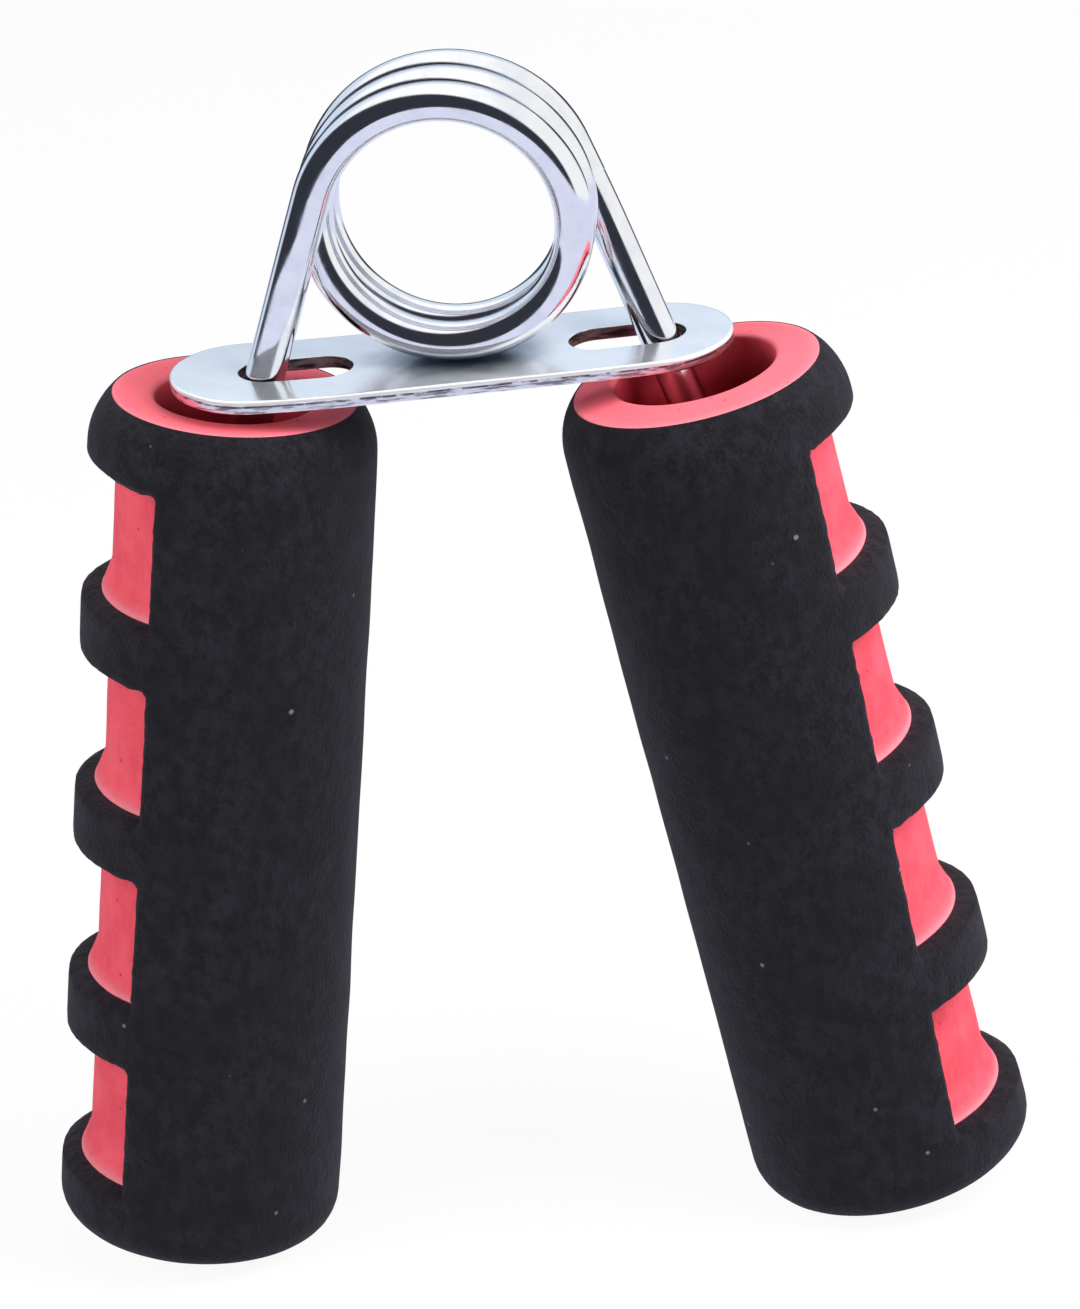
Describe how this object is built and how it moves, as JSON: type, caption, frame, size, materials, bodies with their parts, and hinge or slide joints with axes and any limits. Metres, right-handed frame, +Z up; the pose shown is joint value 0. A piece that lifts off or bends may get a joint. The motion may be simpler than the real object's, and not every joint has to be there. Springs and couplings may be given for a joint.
{
  "type": "hand grip strengthener",
  "caption": "Foam covered handles on a coiled steel spring wire with a slotted guide plate, squeezed in one hand to train grip strength.",
  "frame": {"origin": "on the floor, midway between the lower ends of the two grips", "axes": "+Z up through the coil's centre, Y along the coil's own axis, +X from the left grip to the right grip"},
  "size_m": [0.1142, 0.0406, 0.142],
  "materials": {
    "spring_wire": "bright plating on spring steel",
    "plate_steel": "satin zinc plating",
    "core_plastic": "matte, moulded",
    "red_foam": "closed cell foam rubber, cut faces",
    "black_foam": "closed cell foam rubber, fine matte skin"
  },
  "bodies": {
    "coil": {"spring_coil": "spring_wire"},
    "plate": {"guide_plate": "plate_steel"},
    "right_grip": {"right_leg": "spring_wire", "right_core": "core_plastic", "right_inner_foam": "red_foam", "right_outer_foam": "black_foam"},
    "left_grip": {"left_leg": "spring_wire", "left_core": "core_plastic", "left_inner_foam": "red_foam", "left_outer_foam": "black_foam"}
  },
  "joints": [
    {"name": "right_squeeze", "type": "hinge", "parent": "coil", "child": "right_grip", "pos_m": [0, 0, 0.12524], "axis": [0, 1, 0], "range_deg": [0, 11.4], "stiffness_Nm_per_rad": 36, "deforming": ["spring_coil"]},
    {"name": "left_squeeze", "type": "hinge", "parent": "coil", "child": "left_grip", "pos_m": [0, 0, 0.12524], "axis": [0, -1, 0], "range_deg": [0, 11.4], "stiffness_Nm_per_rad": 36, "deforming": ["spring_coil"]},
    {"name": "plate_swing", "type": "hinge", "parent": "coil", "child": "plate", "pos_m": [0, 0, 0.10814], "axis": [0, 0, 1], "range_deg": [0, 5]}
  ],
  "couplings": [
    {"joint": "left_squeeze", "follows": "right_squeeze", "ratio": 1},
    {"joint": "plate_swing", "follows": "right_squeeze", "ratio": 0.438}
  ]
}
